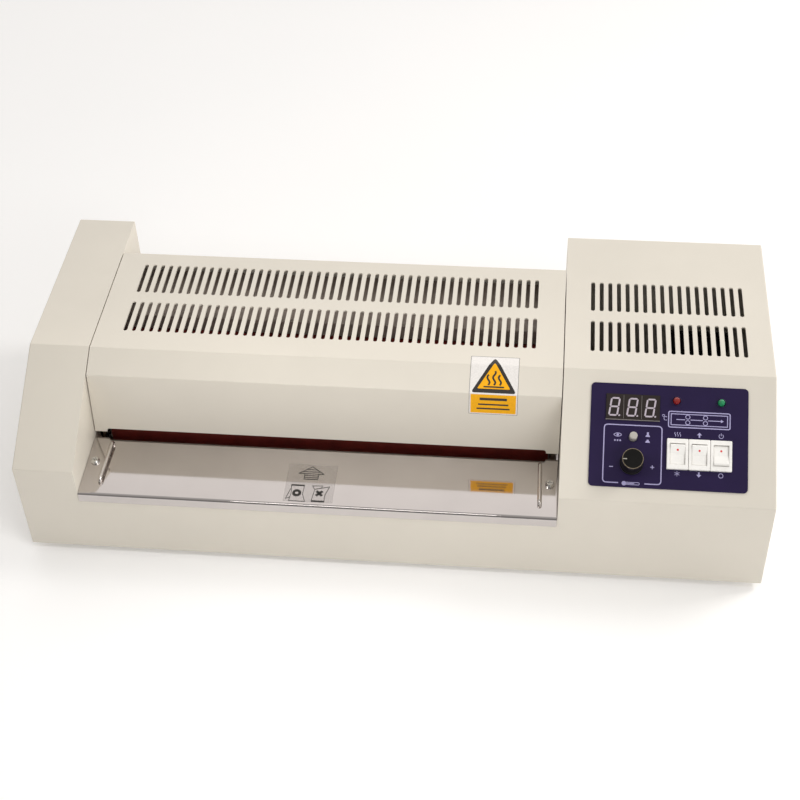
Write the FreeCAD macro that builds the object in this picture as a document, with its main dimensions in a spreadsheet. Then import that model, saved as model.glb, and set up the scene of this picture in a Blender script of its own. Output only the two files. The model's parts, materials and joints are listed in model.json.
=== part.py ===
import FreeCAD, Part

import math
import os

import Sketcher
from FreeCAD import Placement, Rotation, Vector

# Pouch laminator: a welded sheet-steel casing with two end boxes, a vented cover between them, a polished
# feed tray, four rubber-covered rollers in two sprung nips, a gear train in the left end box, and a geared
# motor, fan, electronics and control panel in the right one.
# Millimetres. +X to the operator's right, +Y from the operator to the back, +Z up. The origin is on the
# surface that the feet stand on, under the middle of the machine.

doc = FreeCAD.newDocument("pouch_laminator")
sheet = doc.addObject("Spreadsheet::Sheet", "Sizes")
nodes = {}
rows = []


class Size:
    """A number together with the spreadsheet formula that gives it."""

    def __init__(self, value, formula):
        self.value = value
        self.formula = formula

    def __float__(self):
        return float(self.value)

    def __add__(self, other):
        return Size(float(self) + float(other), "(%s + %s)" % (self.formula, formula_of(other)))

    def __radd__(self, other):
        return self + other

    def __sub__(self, other):
        return Size(float(self) - float(other), "(%s - %s)" % (self.formula, formula_of(other)))

    def __rsub__(self, other):
        return Size(float(other) - float(self), "(%s - %s)" % (formula_of(other), self.formula))

    def __mul__(self, other):
        return Size(float(self) * float(other), "(%s * %s)" % (self.formula, formula_of(other)))

    def __rmul__(self, other):
        return self * other

    def __truediv__(self, other):
        return Size(float(self) / float(other), "(%s / %s)" % (self.formula, formula_of(other)))

    def __neg__(self):
        return Size(-float(self), "(0 - %s)" % self.formula)


def formula_of(size):
    return size.formula if isinstance(size, Size) else repr(float(size))


def root(size):
    return Size(math.sqrt(float(size)), "sqrt(%s)" % size.formula)


def cell(name, value):
    """A driving dimension, kept in the spreadsheet under its own name."""
    rows.append(name)
    row = len(rows)
    sheet.set("A%d" % row, name.replace("_", " "))
    sheet.set("B%d" % row, str(value))
    sheet.setAlias("B%d" % row, name)
    return Size(value, "Sizes." + name)


# ---------------------------------------------------------------- driving dimensions
width = cell("body_width", 530)
depth = cell("body_depth", 230)
height = cell("overall_height", 130)
foot_height = cell("foot_height", 6)
front_height = cell("front_edge_height", 83)
bend_depth = cell("bend_depth", 81)
skin = cell("casing_skin", 1.2)
left_end = cell("left_end_width", 43.8)
right_end = cell("right_end_width", 146.3)
cover_back = cell("cover_back_depth", 190.5)
knee_depth = cell("cover_knee_depth", 62.2)
lip_depth = cell("cover_lip_depth", 55.8)
lip_height = cell("cover_lip_height", 72.2)
lip_tab = cell("cover_lip_tab", 3)
cover_drop = cell("cover_drop", 0.2)
seam = cell("seam_gap", 0.7)
tray_height = cell("tray_front_height", 62.6)
tray_skin = cell("tray_skin", 0.8)
tray_rise = cell("tray_rise_per_mm", 0.05)
tray_flange = cell("tray_flange", 7.8)
tray_length = cell("tray_length", 70)
exit_length = cell("exit_tray_length", 76)
vent_width = cell("vent_width", 3)
vent_length = cell("vent_length", 32.8)
vent_pitch = cell("vent_pitch", 6.3)
vent_row_depth = cell("vent_row_depth", 100)
vent_row_gap = cell("vent_row_gap", 11.1)
roller_radius = cell("roller_radius", 14)
core_radius = cell("core_radius", 11)
core_bore = cell("core_bore_radius", 4.4)
journal_radius = cell("journal_radius", 6)
running_gap = cell("running_gap", 0.06)
nip_gap = cell("nip_gap", 0.2)
nip_height = cell("nip_height", 67)
front_pair_depth = cell("front_pair_depth", 80)
rear_pair_depth = cell("rear_pair_depth", 144)
nip_lift = cell("nip_lift", 1.5)
frame_skin = cell("frame_thickness", 3)
frame_height = cell("frame_height", 103.2)
gear_width = cell("gear_width", 8)
gear_module = cell("gear_module", 1)
roller_teeth = cell("roller_gear_teeth", 28)
idler_teeth = cell("idler_gear_teeth", 36)
drive_teeth = cell("drive_gear_teeth", 40)
pinion_teeth = cell("pinion_teeth", 12)
wire_radius = cell("guide_wire_radius", 1.5)
panel_width = cell("panel_width", 107.55)
panel_height = cell("panel_height", 73.8)
panel_skin = cell("panel_thickness", 0.8)
digit_width = cell("digit_width", 12.25)
digit_height = cell("digit_height", 18)
switch_pitch = cell("switch_pitch", 14.73)
bezel_width = cell("switch_bezel_width", 14.5)
bezel_height = cell("switch_bezel_height", 21.6)
rocker_width = cell("rocker_width", 10.2)
knob_radius = cell("knob_radius", 7.5)
knob_height = cell("knob_height", 14)
button_radius = cell("button_radius", 2.7)
fan_size = cell("fan_size", 60)
fan_depth = cell("fan_depth", 15)
bottom_skin = cell("bottom_plate_thickness", 1.5)
foot_radius = cell("foot_radius", 10)
doc.recompute()

# ---------------------------------------------------------------- places that follow from them
front = -(depth / 2)
back = depth / 2
left = -(width / 2)
right = width / 2
left_wall = left + left_end
right_wall = right - right_end
rise = (height - front_height) / bend_depth
slant = root(rise * rise + 1)
floor_top = foot_height + bottom_skin
front_pair = front + front_pair_depth
rear_pair = front + rear_pair_depth
idler_place = (front_pair + rear_pair) / 2
lower_axis = nip_height - roller_radius
upper_axis = nip_height + roller_radius + nip_gap
FRAME_SETBACK = 2.3
left_frame_x = left_wall - FRAME_SETBACK - frame_skin
right_frame_x = right_wall + FRAME_SETBACK
ROTATE_TO_X = Rotation(Vector(0, 1, 0), 90)
ROTATE_TO_Y = Rotation(Vector(1, 0, 0), -90)
PROFILE_TURN = Rotation(Vector(1, 1, 1), 120)


# ---------------------------------------------------------------- helpers
def bind(thing, prop, size):
    if isinstance(size, Size):
        thing.setExpression(prop, size.formula)


def place(thing, corner, rotation=None):
    thing.Placement = Placement(Vector(*[float(c) for c in corner]), rotation or Rotation())
    for axis, value in zip("xyz", corner):
        bind(thing, "Placement.Base." + axis, value)
    return thing


def sized(kind, name, properties):
    thing = doc.addObject(kind, name)
    for prop, size in properties.items():
        setattr(thing, prop, float(size))
        bind(thing, prop, size)
    return thing


def box(name, corner, size):
    properties = dict(zip(("Length", "Width", "Height"), size))
    return place(sized("Part::Box", name, properties), corner)


def rod(name, start, radius, length, turn=None):
    """A cylinder from start, along Z, or along the axis that turn brings Z to."""
    return place(sized("Part::Cylinder", name, {"Radius": radius, "Height": length}), start, turn)


def rod_x(name, start, radius, length):
    return rod(name, start, radius, length, ROTATE_TO_X)


def cut(name, base, *tools):
    tool = tools[0] if len(tools) == 1 else fuse(name + "_tools", *tools)
    thing = doc.addObject("Part::Cut", name)
    thing.Base = base
    thing.Tool = tool
    return thing


def fuse(name, *shapes):
    thing = doc.addObject("Part::MultiFuse", name)
    thing.Shapes = list(shapes)
    return thing


def group(name, shapes):
    thing = doc.addObject("Part::Compound", name)
    thing.Links = list(shapes)
    return thing


def shaped(name, shape):
    """A feature whose shape is computed here, for forms that neither a primitive nor a body describes."""
    thing = doc.addObject("Part::Feature", name)
    thing.Shape = shape
    return thing


def node(label, thing):
    """Marks thing as a sub-part, which is written to parts/LABEL.step."""
    thing.Label = label
    nodes[label] = thing
    return thing


def draw(sketch, points, closed):
    """Straight lines through points, each held by its distances from the sketch's origin."""
    numbers = [(float(a), float(b)) for a, b in points]
    ends = list(zip(numbers, numbers[1:] + numbers[:1])) if closed else list(zip(numbers, numbers[1:]))
    for start, end in ends:
        sketch.addGeometry(Part.LineSegment(Vector(*start, 0), Vector(*end, 0)), False)
    for i in range(len(ends) - (0 if closed else 1)):
        sketch.addConstraint(Sketcher.Constraint("Coincident", i, 2, (i + 1) % len(ends), 1))
    for i, point in enumerate(points):
        line, end = (i, 1) if i < len(ends) else (i - 1, 2)
        for kind, axis, size in (("DistanceX", -2, point[0]), ("DistanceY", -1, point[1])):
            if abs(float(size)) < 1e-9:
                sketch.addConstraint(Sketcher.Constraint("PointOnObject", line, end, axis))
                continue
            at = sketch.addConstraint(Sketcher.Constraint(kind, -1, 1, line, end, float(size)))
            name = "%s%d" % (kind[-1].lower(), i)
            sketch.renameConstraint(at, name)
            bind(sketch, "Constraints." + name, size)


def profile(name, points, x, closed):
    """A sketch across the machine: its first axis is Y and its second Z."""
    sketch = doc.addObject("Sketcher::SketchObject", name + "_profile")
    draw(sketch, points, closed)
    return place(sketch, (x, 0, 0), PROFILE_TURN)


def extruded(name, base, direction, length):
    thing = doc.addObject("Part::Extrusion", name)
    thing.Base = base
    thing.DirMode = "Custom"
    thing.Dir = Vector(*direction)
    thing.Solid = True
    thing.LengthFwd = float(length)
    bind(thing, "LengthFwd", length)
    return thing


def folded(name, points, x, length, thickness):
    """Sheet metal folded along X: points are its inner face, and its outer face has rounded bends."""
    path = profile(name, points, x, False)
    face = doc.addObject("Part::Offset2D", name + "_section")
    face.Source = path
    face.Mode = "Skin"
    face.Fill = True
    bind(face, "Value", -thickness)
    return extruded(name, face, (1, 0, 0), length)


def plate(name, points, x, thickness):
    return extruded(name, profile(name, points, x, True), (1, 0, 0), thickness)


def body_sketch(body, name, role, points):
    sketch = body.newObject("Sketcher::SketchObject", name)
    plane = [f for f in body.Origin.OriginFeatures if f.Role == role][0]
    sketch.AttachmentSupport = [(plane, "")]
    sketch.MapMode = "FlatFace"
    draw(sketch, points, True)
    return sketch


def turned(name, points, start, turn=None):
    """A body of revolution: points are (radius, height), and its axis is Z until turned."""
    body = doc.addObject("PartDesign::Body", name)
    feature = body.newObject("PartDesign::Revolution", name + "_turned")
    feature.Profile = body_sketch(body, name + "_section", "XZ_Plane", points)
    feature.ReferenceAxis = (feature.Profile[0], ["V_Axis"])
    feature.Angle = 360
    return place(body, start, turn)


def padded(name, points, length, start, turn=None):
    """A body padded up from a sketch on its XY plane."""
    body = doc.addObject("PartDesign::Body", name)
    feature = body.newObject("PartDesign::Pad", name + "_pad")
    feature.Profile = body_sketch(body, name + "_outline", "XY_Plane", points)
    feature.Length = float(length)
    bind(feature, "Length", length)
    return place(body, start, turn)


def dressed(body, kind, size, edges):
    """Rounds or bevels the edges of a body's last feature that the test picks."""
    doc.recompute()
    base = body.Tip
    picked = [
        "Edge%d" % (i + 1)
        for i, edge in enumerate(base.Shape.Edges)
        if edges(edge.BoundBox)
    ]
    feature = body.newObject("PartDesign::" + kind, body.Name + "_" + kind.lower())
    feature.Base = (base, picked)
    if kind == "Fillet":
        feature.Radius = size
    else:
        feature.Size = size
    body.Tip = feature
    return body


def rounded(base, radius, edges):
    """Rounds the edges of base that the test picks."""
    doc.recompute()
    thing = doc.addObject("Part::Fillet", base.Name + "_rounded")
    thing.Base = base
    picked = [i + 1 for i, edge in enumerate(base.Shape.Edges) if edges(edge.BoundBox)]
    thing.Edges = [(i, radius, radius) for i in picked]
    return thing


def upper_along_y(bounds):
    return bounds.YLength > 1 and bounds.XLength < 0.01 and bounds.ZMin > float(lip_height) - 1


def rectangle(x0, y0, x1, y1):
    return [(x0, y0), (x1, y0), (x1, y1), (x0, y1)]


def on_panel(thing, u, v, w, turn=None):
    """Places thing on the sloped face of the right end box: u along X, v up the slope, w out of it."""
    local = Placement(Vector(float(u), float(v), float(w)), turn or Rotation())
    thing.Placement = PANEL.multiply(local)
    return thing


PANEL = Placement(
    Vector(float(right_wall), float(front), float(front_height)),
    Rotation(Vector(1, 0, 0), math.degrees(math.atan(float(rise)))),
)


def panel_plain(name, u, v, w, size):
    """A box on the slope that is free of placement formulas."""
    return on_panel(sized("Part::Box", name, dict(zip(("Length", "Width", "Height"), size))), u, v, w)


def panel_pin(name, u, v, w, radius, length, turn=None):
    return on_panel(sized("Part::Cylinder", name, {"Radius": radius, "Height": length}), u, v, w, turn)


# ---------------------------------------------------------------- casing
def inner_slope(y):
    """Height of the casing's inner face, under the slope, at a place along Y."""
    return front_height + rise * (y - front) - skin * slant


INNER_FRONT = front + skin
INNER_BACK = back - skin
INNER_TOP = height - skin
BEND = front + (INNER_TOP - front_height + skin * slant) / rise
WRAP = [
    (INNER_FRONT, foot_height),
    (INNER_FRONT, inner_slope(INNER_FRONT)),
    (BEND, INNER_TOP),
    (INNER_BACK, INNER_TOP),
    (INNER_BACK, foot_height),
]
PANEL_U, PANEL_V = 19.45, 10.1
DIGITS_U, DIGITS_V = 29.9, 58.0
SWITCH_U, SWITCH_V = 79.3, 34.9
KNOB_U, KNOB_V = 48.4, 26.8
BUTTON_U, BUTTON_V = 49.0, 45.4
LED_PLACES = {"red_led": (78.1, 72.9), "green_led": (108.6, 72.9)}
FAN_Y, FAN_Z = -18, 73
INLET_X, INLET_Z = 228, 30
WALL_FOOT = 52
SIDE_SCREWS_Y = (-85, 0, 85)
SIDE_SCREW_Z = 17
TRAY_SCREWS_X = (-215, 112.6)
TRAY_SCREW_DEPTH = 30.2
LEDGE = 12
LEDGE_TOP = 62.9
NOTCH_TOP = 112
NOTCH_FRONT, NOTCH_BACK = -50, 70
BEND_RADIUS = 1.2


def vent_row(count, middle, y):
    """Upright cutters for one row of round-ended slots through a top sheet."""
    radius = float(vent_width) / 2
    length = float(vent_length)
    cutters = []
    for i in range(count):
        x = middle + (i - (count - 1) / 2) * float(vent_pitch)
        low, high = y + radius, y + length - radius
        arcs = Part.Wire([
            Part.LineSegment(Vector(x + radius, low, 0), Vector(x + radius, high, 0)).toShape(),
            Part.Arc(Vector(x + radius, high, 0), Vector(x, high + radius, 0), Vector(x - radius, high, 0)).toShape(),
            Part.LineSegment(Vector(x - radius, high, 0), Vector(x - radius, low, 0)).toShape(),
            Part.Arc(Vector(x - radius, low, 0), Vector(x, low - radius, 0), Vector(x + radius, low, 0)).toShape(),
        ])
        solid = Part.Face(arcs).extrude(Vector(0, 0, 3 * float(skin)))
        solid.translate(Vector(0, 0, float(height) - 2 * float(skin)))
        cutters.append(solid)
    return cutters


def vents(name, count, middle):
    first = float(front + vent_row_depth)
    second = first + float(vent_length + vent_row_gap)
    return shaped(name, Part.makeCompound(vent_row(count, middle, first) + vent_row(count, middle, second)))


def panel_openings(name, clearance, w, length):
    """Cutters for the openings that the display, lamps, switches, button and knob shaft pass through."""
    digits = panel_plain(
        name + "_digits", DIGITS_U - clearance, DIGITS_V - clearance, w,
        (3 * digit_width + 0.2 + 2 * clearance, digit_height + 2 * clearance, length),
    )
    cutters = [digits]
    for i in range(3):
        middle = SWITCH_U + i * float(switch_pitch)
        cutters.append(panel_plain(
            "%s_switch%d" % (name, i), middle - 6.6 - clearance, SWITCH_V - 9.6 - clearance, w,
            (13.2 + 2 * clearance, 19.2 + 2 * clearance, length),
        ))
    round_holes = [(KNOB_U, KNOB_V, 3.6), (BUTTON_U, BUTTON_V, 3.0)]
    round_holes += [(u, v, 2.6) for u, v in LED_PLACES.values()]
    for i, (u, v, radius) in enumerate(round_holes):
        cutters.append(panel_pin("%s_hole%d" % (name, i), u, v, w, radius + clearance, length))
    return fuse(name, *cutters)


def end_box(name, x, length, outer_x, inner_x):
    """One end of the casing: the wrapped sheet, its outer side and its notched inner side."""
    wrap = folded(name + "_wrap", WRAP, x, length, skin)
    outer = plate(name + "_outer_side", WRAP, outer_x, skin)
    inner_outline = [
        (INNER_FRONT, WALL_FOOT), (INNER_FRONT, inner_slope(INNER_FRONT)), (BEND, INNER_TOP),
        (INNER_BACK, INNER_TOP), (INNER_BACK, WALL_FOOT), (NOTCH_BACK, WALL_FOOT),
        (NOTCH_BACK, NOTCH_TOP), (NOTCH_FRONT, NOTCH_TOP), (NOTCH_FRONT, WALL_FOOT),
    ]
    inner = plate(name + "_inner_side", inner_outline, inner_x, skin)
    return [wrap, outer, inner]


def outer_side_edge(bounds):
    """Whether an edge is on the outline of an end box's outer side, above its foot."""
    if bounds.XLength > 0.01 or abs(abs(bounds.XMin) - float(right)) > 0.01:
        return False
    on_front = bounds.YMin < float(front) + 0.5
    on_back = bounds.YMax > float(back) - 0.5
    on_slope = bounds.ZMax > float(front_height) - 2
    return bounds.ZMax > float(foot_height) + 1 and (on_front or on_back or on_slope)


def main_casing():
    parts = end_box("left_end", left, left_end, left, left_wall - skin)
    parts += end_box("right_end", right_wall, right_end, right - skin, right_wall)
    panel_size = (right_wall - left_wall, skin, tray_height - tray_skin - BEND_RADIUS - foot_height)
    parts.append(box("front_panel", (left_wall, front, foot_height), panel_size))
    parts.append(box("rear_panel", (left_wall, back - skin, foot_height), panel_size))
    for i, x in enumerate((left_wall, right_wall - LEDGE)):
        for j, y in enumerate((front + TRAY_SCREW_DEPTH - 6, back - TRAY_SCREW_DEPTH - 6)):
            parts.append(box("tray_ledge%d%d" % (i, j), (x, y, LEDGE_TOP - skin), (LEDGE, 12, skin)))
    fused = fuse("casing_shell", *parts)
    fused.Refine = True
    shell = rounded(fused, 0.9, outer_side_edge)
    grille = [
        box("fan_slot%d" % i, (right - 3, FAN_Y - 25.5 + i * 7.9, FAN_Z - 22), (6, 3.6, 44)) for i in range(7)
    ]
    inlet = box("inlet_opening", (INLET_X - 13.7, back - 3, INLET_Z - 10.2), (27.4, 6, 20.4))
    top_vents = vents("right_vents", 18, float(right_wall + right_end / 2))
    openings = panel_openings("casing_openings", 0.4, -3, 5)
    side_holes = []
    for side, x in (("left", left - 1), ("right", right - skin - 1)):
        for i, y in enumerate(SIDE_SCREWS_Y):
            side_holes.append(rod_x("%s_hole%d" % (side, i), (x, y, SIDE_SCREW_Z), 2.2, 2 + skin))
    for i, x in enumerate(TRAY_SCREWS_X):
        for j, y in enumerate((front + TRAY_SCREW_DEPTH, back - TRAY_SCREW_DEPTH)):
            side_holes.append(rod("ledge_hole%d%d" % (i, j), (x, y, LEDGE_TOP - 3), 2.3, 6))
    return node("main_casing", cut("casing", shell, top_vents, openings, inlet, *grille, *side_holes))


def bottom_plate():
    upstand = 24
    outline = [
        (left + skin, upstand), (left + skin, foot_height), (right - skin, foot_height), (right - skin, upstand),
        (right - skin - bottom_skin, upstand), (right - skin - bottom_skin, floor_top),
        (left + skin + bottom_skin, floor_top), (left + skin + bottom_skin, upstand),
    ]
    sketch = doc.addObject("Sketcher::SketchObject", "bottom_profile")
    draw(sketch, outline, True)
    place(sketch, (0, back - skin, 0), Rotation(Vector(1, 0, 0), 90))
    pan = extruded("bottom_pan", sketch, (0, -1, 0), depth - 2 * skin)
    holes = []
    for i, x in enumerate((-240, 240)):
        for j, y in enumerate(SIDE_SCREWS_Y):
            at = left if x < 0 else right - skin - bottom_skin - 1
            holes.append(rod_x("pan_hole%d%d" % (i, j), (at, y, SIDE_SCREW_Z), 1.95, 4))
    for i, (x, y) in enumerate(FOOT_PLACES):
        holes.append(rod("foot_hole%d" % i, (x, y, foot_height - 1), 2.2, 4))
    for i in range(9):
        holes.append(box("pan_vent%d" % i, (150 + i * 9, -40, foot_height - 1), (4, 60, 4)))
    return node("bottom_plate", cut("bottom", pan, *holes))


FOOT_PLACES = [(x, y) for x in (-235, 235) for y in (-85, 85)]


def middle_cover():
    low = lip_height - lip_tab
    x = left_wall + seam
    length = right_wall - left_wall - 2 * seam
    rear = front + cover_back - skin
    top = INNER_TOP - cover_drop
    path = [
        (front + lip_depth + skin, low),
        (front + knee_depth + skin, inner_slope(front + knee_depth + skin)),
        (BEND - cover_drop / rise, top),
        (rear, top),
        (rear, low),
    ]
    sheet_metal = folded("cover_sheet", path, x, length, skin)
    tab = 9
    mouth = [
        rounded(box(name, (x + tab, y, low - 1), (length - 2 * tab, 12, lip_tab + 1)), 2, upper_along_y)
        for name, y in (("cover_mouth", front + lip_depth - 5), ("cover_outlet", rear - 5))
    ]
    middle = float(left_wall + right_wall) / 2
    slots = vents("cover_vents", 48, middle)
    return node("middle_cover", cut("cover", sheet_metal, *mouth, slots))


# ---------------------------------------------------------------- trays
def tray(name, edge, inward, length, holes):
    """A polished tray: a plate that rises towards the rollers, with a flange folded over the panel."""
    under = tray_height - tray_skin
    bend = [
        (edge + inward * BEND_RADIUS * (1 - math.cos(a)), under - BEND_RADIUS * (1 - math.sin(a)))
        for a in (math.radians(18 * k) for k in range(6))
    ]
    path = [(edge, tray_height - tray_flange), *bend, (edge + inward * length, under + tray_rise * length)]
    if inward < 0:
        path.reverse()
    x = left_wall + 0.3
    metal = folded(name + "_sheet", path, x, right_wall - left_wall - 0.6, tray_skin)
    return node(name, cut(name + "_cut", metal, *holes))


GUIDES_X = {"left_guide_wire": -205.7, "right_guide_wire": 105.2}
GUIDES_SPLAY = {"left_guide_wire": -1.4, "right_guide_wire": 0.8}
GUIDE_FRONT, GUIDE_BACK = 11.0, 47.2
GUIDE_LIFT = 2.7


def tray_top(y_depth):
    return float(tray_height) + float(tray_rise) * y_depth


def trays():
    holes = []
    for i, x in enumerate(TRAY_SCREWS_X):
        holes.append(rod("tray_hole%d" % i, (x, front + TRAY_SCREW_DEPTH, tray_height - 3), 2.1, 8))
    for name, x in GUIDES_X.items():
        for i, (foot_x, along) in enumerate(((x + GUIDES_SPLAY[name], GUIDE_FRONT), (x, GUIDE_BACK))):
            at = (foot_x, front + along, tray_height - 3)
            holes.append(rod("%s_hole%d" % (name, i), at, wire_radius, 8))
    tray("feed_tray", front, 1, tray_length, holes)
    back_holes = [
        rod("exit_hole%d" % i, (x, back - TRAY_SCREW_DEPTH, tray_height - 3), 2.1, 8)
        for i, x in enumerate(TRAY_SCREWS_X)
    ]
    tray("exit_tray", back, -1, exit_length, back_holes)


def guide_wire(name, x):
    """A bent wire that stands over the tray and keeps the pouch off the side wall, splayed at its front."""
    radius = float(wire_radius)
    bend = 2.2
    start = Vector(x + GUIDES_SPLAY[name], float(front) + GUIDE_FRONT, 0)
    way = Vector(x, float(front) + GUIDE_BACK, 0) - start
    reach = way.Length
    way.normalize()
    z0, z1 = tray_top(GUIDE_FRONT) + GUIDE_LIFT, tray_top(GUIDE_BACK) + GUIDE_LIFT
    foot = float(tray_height) - 5
    near = math.sqrt(0.5) * bend

    def at(along, z):
        return start + way * along + Vector(0, 0, z)

    path = Part.Wire([
        Part.LineSegment(at(0, foot), at(0, z0 - bend)).toShape(),
        Part.Arc(at(0, z0 - bend), at(bend - near, z0 - bend + near), at(bend, z0)).toShape(),
        Part.LineSegment(at(bend, z0), at(reach - bend, z1)).toShape(),
        Part.Arc(at(reach - bend, z1), at(reach - bend + near, z1 - bend + near), at(reach, z1 - bend)).toShape(),
        Part.LineSegment(at(reach, z1 - bend), at(reach, foot)).toShape(),
    ])
    ring = Part.Wire([Part.makeCircle(radius, at(0, foot), Vector(0, 0, 1))])
    return node(name, shaped(name + "_bent", path.makePipeShell([ring], True, False)))


# ---------------------------------------------------------------- frames and the parts between them
def frame_plate(name, x, outward):
    """An upright that carries one end of the rollers, with a foot folded away from them."""
    low, high = float(NOTCH_FRONT) + 1, 66
    slot = 8.1
    top = frame_height
    seat = upper_axis - 7.05
    outline = [(low, floor_top), (high, floor_top), (high, top)]
    for centre in (rear_pair, front_pair):
        outline += [(centre + slot, top), (centre + slot, seat), (centre - slot, seat), (centre - slot, top)]
    outline.append((low, top))
    upright = plate(name + "_upright", outline, x, frame_skin)
    reach = 12
    foot_x = x - reach if outward < 0 else x + frame_skin
    foot = box(name + "_foot", (foot_x, low, floor_top), (reach, high - low, frame_skin))
    bores = [
        rod_x("%s_bore%d" % (name, i), (x - 1, centre, lower_axis), 9, frame_skin + 2)
        for i, centre in enumerate((front_pair, rear_pair))
    ]
    return node(name, cut(name + "_cut", fuse(name + "_shape", upright, foot), *bores))


def between_frames(name, y, z, size_y, size_z):
    start = left_frame_x + frame_skin
    return box(name, (start, y, z), (right_frame_x - start, size_y, size_z))


def inner_frame():
    frame_plate("left_frame", left_frame_x, -1)
    frame_plate("right_frame", right_frame_x, 1)
    start = left_frame_x + frame_skin
    span = right_frame_x - start
    bars = [rod_x("tie_bar%d" % i, (start, idler_place, z), 4, span) for i, z in enumerate((22, 98))]
    bars.append(rod_x("tie_bar2", (start, 56, 30), 4, span))
    node("tie_bars", group("bars", bars))
    guide_start, guide_reach = front_pair + 10, rear_pair - front_pair - 20
    guides = [
        between_frames("lower_guide", guide_start, nip_height - 1.8, guide_reach, tray_skin),
        between_frames("upper_guide", guide_start, nip_height + 2.5, guide_reach, tray_skin),
    ]
    node("guide_plates", group("guides", guides))
    lip = frame_height + tray_skin
    shield = [(17, 106), (18, 116.5), (71, 116.5), (72, lip), (56, lip)]
    clear = 2
    sheet_metal = folded("shield", shield, left_wall + clear, right_wall - left_wall - 2 * clear, tray_skin)
    tab = 8
    ears = [
        box("shield_ear%d" % i, (x, 56, frame_height), (tab, 9, tray_skin))
        for i, x in enumerate((left_frame_x, right_frame_x + frame_skin - tab))
    ]
    node("heat_shield", fuse("shield_shape", sheet_metal, *ears))


def bush(name, x, y):
    outer = rod_x(name + "_outer", (x, y, lower_axis), 9, 5)
    bore = rod_x(name + "_bore", (x - 1, y, lower_axis), journal_radius + running_gap, 7)
    return cut(name, outer, bore)


def block(name, x, y):
    """A bearing block that slides up and down in a frame's slot."""
    shape = box(name + "_shape", (x, y - 8, upper_axis - 7), (6, 16, 14))
    bore = rod_x(name + "_bore", (x - 1, y, upper_axis), journal_radius + running_gap, 8)
    return cut(name, shape, bore)


def coil(x, y, z, length):
    """A compression spring from z up, with four turns."""
    radius, wire = 3.4, 0.5
    helix = Part.makeHelix((length - 2 * wire) / 4, length - 2 * wire, radius)
    ring = Part.Wire([Part.makeCircle(wire, Vector(radius, 0, 0), Vector(0, 1, 0))])
    shape = Part.Wire(helix.Edges).makePipeShell([ring], True, True)
    shape.translate(Vector(x, y, z + wire))
    return shape


def nip_parts():
    left_x, right_x = left_frame_x - 1, right_frame_x - 1
    bushes = [
        bush("bush_%s%d" % (side, i), x, y)
        for side, x in (("left", left_x), ("right", right_x))
        for i, y in enumerate((front_pair, rear_pair))
    ]
    node("lower_bushes", group("bushes", bushes))
    bridges = []
    for pair, y in (("front", front_pair), ("rear", rear_pair)):
        block_x = {"left": left_frame_x - 1.5, "right": right_frame_x - 1.5}
        blocks = [block("%s_%s_block" % (pair, side), x, y) for side, x in block_x.items()]
        node(pair + "_bearing_blocks", group(pair + "_blocks", blocks))
        seat = float(upper_axis) + 7.1
        coils = [coil(float(x) + 3, float(y), seat, float(frame_height) - seat - 0.1) for x in block_x.values()]
        node(pair + "_springs", shaped(pair + "_coils", Part.makeCompound(coils)))
        for side, x in block_x.items():
            name = "%s_%s_bridge" % (pair, side)
            bridges.append(box(name, (x - 1, y - 13, frame_height), (8, 26, 2)))
    node("spring_bridges", group("bridges", bridges))


# ---------------------------------------------------------------- rollers and gears
SLEEVE_LEFT, SLEEVE_RIGHT = -213, 110.5
JOURNAL_LEFT = -245
GEAR_X = -243


def tooth_outline(teeth, phase, backlash=0.07):
    """The outline of an involute gear: for each tooth its two flanks, and the root between teeth."""
    module = float(gear_module)
    pitch = module * teeth / 2
    base = pitch * math.cos(math.radians(20))
    tip, foot = pitch + 0.95 * module, pitch - 1.25 * module
    spread = math.pi / (2 * teeth) - backlash / pitch + math.tan(math.radians(20)) - math.radians(20)

    def half_angle(radius):
        turn = math.acos(min(1.0, base / radius))
        return spread - (math.tan(turn) - turn)

    radii = [foot, max(base, foot + 0.05), (base + pitch) / 2 + 0.2, pitch + 0.3, tip]
    points = []
    for k in range(teeth):
        middle = phase + 2 * math.pi * k / teeth
        flank = [(r, half_angle(max(r, base))) for r in radii]
        points += [(r, middle - a) for r, a in flank] + [(r, middle + a) for r, a in reversed(flank)]
    return [Vector(0, r * math.cos(a), r * math.sin(a)) for r, a in points]


def gear(name, teeth, phase, x, length, y, z, bore):
    outline = tooth_outline(int(float(teeth)), phase)
    face = Part.Face(Part.makePolygon(outline + outline[:1]))
    solid = face.extrude(Vector(float(length), 0, 0))
    hole = Part.makeCylinder(float(bore), float(length) + 2, Vector(-1, 0, 0), Vector(1, 0, 0))
    thing = shaped(name, solid.cut(hole))
    return place(thing, (x, y, z))


def roller(pair, level, y, z, right_end_x, phase):
    """A hollow steel core with turned-down journals, its rubber sleeve and its gear."""
    name = "%s_%s" % (pair, level)
    shoulder = 2
    low, high = SLEEVE_LEFT - shoulder - JOURNAL_LEFT, SLEEVE_RIGHT + shoulder - JOURNAL_LEFT
    end = right_end_x - JOURNAL_LEFT
    section = [
        (core_bore, 0), (journal_radius, 0), (journal_radius, low), (core_radius, low),
        (core_radius, high), (journal_radius, high), (journal_radius, end), (core_bore, end),
    ]
    node(name + "_core", turned(name + "_shaft", section, (JOURNAL_LEFT, y, z), ROTATE_TO_X))
    length = SLEEVE_RIGHT - SLEEVE_LEFT
    rubber = [(core_radius, 0), (roller_radius, 0), (roller_radius, length), (core_radius, length)]
    node(name + "_sleeve", turned(name + "_rubber", rubber, (SLEEVE_LEFT, y, z), ROTATE_TO_X))
    node(name + "_gear", gear(name + "_teeth", roller_teeth, phase, GEAR_X, gear_width, y, z, journal_radius))


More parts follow.
